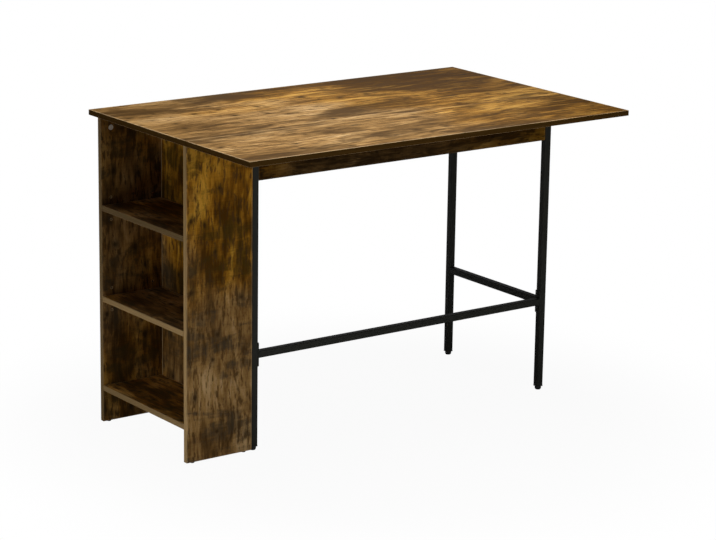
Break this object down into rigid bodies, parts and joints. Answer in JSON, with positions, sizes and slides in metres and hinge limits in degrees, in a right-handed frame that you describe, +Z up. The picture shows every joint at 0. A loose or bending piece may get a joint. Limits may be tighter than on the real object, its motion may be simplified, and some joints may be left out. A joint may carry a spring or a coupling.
{
  "type": "folding bar table",
  "caption": "Bar-height table with a wood-grain top, a drop leaf on slotted folding stays, an open shelf unit at one end and a black square-tube frame with a foot rail.",
  "frame": {"origin": "on the floor, under the middle of the open table's box", "axes": "+X along the table from the shelf unit to the far legs, +Y from the drop leaf to the rear edge, +Z up"},
  "size_m": [1.27, 0.8, 0.9],
  "materials": {
    "wood_board": "satin printed rustic wood grain with banded edges",
    "black_steel": "fine matte black powder coat",
    "zinc_steel": "zinc plated, satin",
    "black_plastic": "moulded, matte",
    "beech": "plain, unfinished"
  },
  "bodies": {
    "base": {"apron_screws": "zinc_steel", "apron_tabs": "black_steel", "bottom_shelf": "wood_board", "cam_bolts": "zinc_steel", "cam_locks": "zinc_steel", "dowels": "beech", "fixed_top": "wood_board", "foot_rail": "black_steel", "foot_rail_bolts": "black_steel", "foot_rail_left_plate": "black_steel", "foot_rail_right_plate": "black_steel", "front_apron": "wood_board", "front_side_panel": "wood_board", "hinge_fixed_plates": "zinc_steel", "hinge_fixed_screws": "zinc_steel", "hinge_pins": "zinc_steel", "left_front_leg": "black_steel", "left_low_rail": "black_steel", "left_pivot_rivet": "zinc_steel", "left_rear_leg": "black_steel", "left_top_rail": "black_steel", "left_wall_plate": "black_steel", "leg_feet": "black_plastic", "middle_shelf": "wood_board", "panel_glides": "black_plastic", "panel_screws": "black_steel", "rear_apron": "wood_board", "rear_side_panel": "wood_board", "right_front_leg": "black_steel", "right_low_rail": "black_steel", "right_pivot_rivet": "zinc_steel", "right_rear_leg": "black_steel", "right_top_rail": "black_steel", "right_wall_plate": "black_steel", "shelf_back_panel": "wood_board", "shelf_pins": "zinc_steel", "top_angles": "black_steel", "top_rail_screws": "black_steel", "upper_shelf": "wood_board", "wall_plate_screws": "zinc_steel"},
    "leaf": {"drop_leaf": "wood_board", "hinge_leaf_plates": "zinc_steel", "hinge_leaf_screws": "zinc_steel", "left_leaf_arm": "black_steel", "right_leaf_arm": "black_steel", "arm_screws": "zinc_steel"},
    "left_brace": {"left_brace": "zinc_steel", "left_guide_bolt": "zinc_steel"},
    "left_thumb_nut": {"left_thumb_nut": "black_plastic"},
    "right_brace": {"right_brace": "zinc_steel", "right_guide_bolt": "zinc_steel"},
    "right_thumb_nut": {"right_thumb_nut": "black_plastic"}
  },
  "joints": [
    {"name": "leaf_fold", "type": "hinge", "parent": "base", "child": "leaf", "pos_m": [0, -0.1005, 0.882], "axis": [1, 0, 0], "range_deg": [0, 90]},
    {"name": "left_brace_swing", "type": "hinge", "parent": "base", "child": "left_brace", "pos_m": [-0.215, -0.0925, 0.835], "axis": [1, 0, 0], "range_deg": [0, 104.7]},
    {"name": "left_thumb_nut_turn", "type": "hinge", "parent": "left_brace", "child": "left_thumb_nut", "pos_m": [-0.215, -0.23761, 0.873], "axis": [1, 0, 0], "range_deg": [0, 180]},
    {"name": "right_brace_swing", "type": "hinge", "parent": "base", "child": "right_brace", "pos_m": [0.445, -0.0925, 0.835], "axis": [1, 0, 0], "range_deg": [0, 104.7]},
    {"name": "right_thumb_nut_turn", "type": "hinge", "parent": "right_brace", "child": "right_thumb_nut", "pos_m": [0.445, -0.23761, 0.873], "axis": [1, 0, 0], "range_deg": [0, 180]}
  ],
  "couplings": [
    {"joint": "left_brace_swing", "follows": "leaf_fold", "ratio": 1.1631},
    {"joint": "right_brace_swing", "follows": "leaf_fold", "ratio": 1.1631}
  ]
}
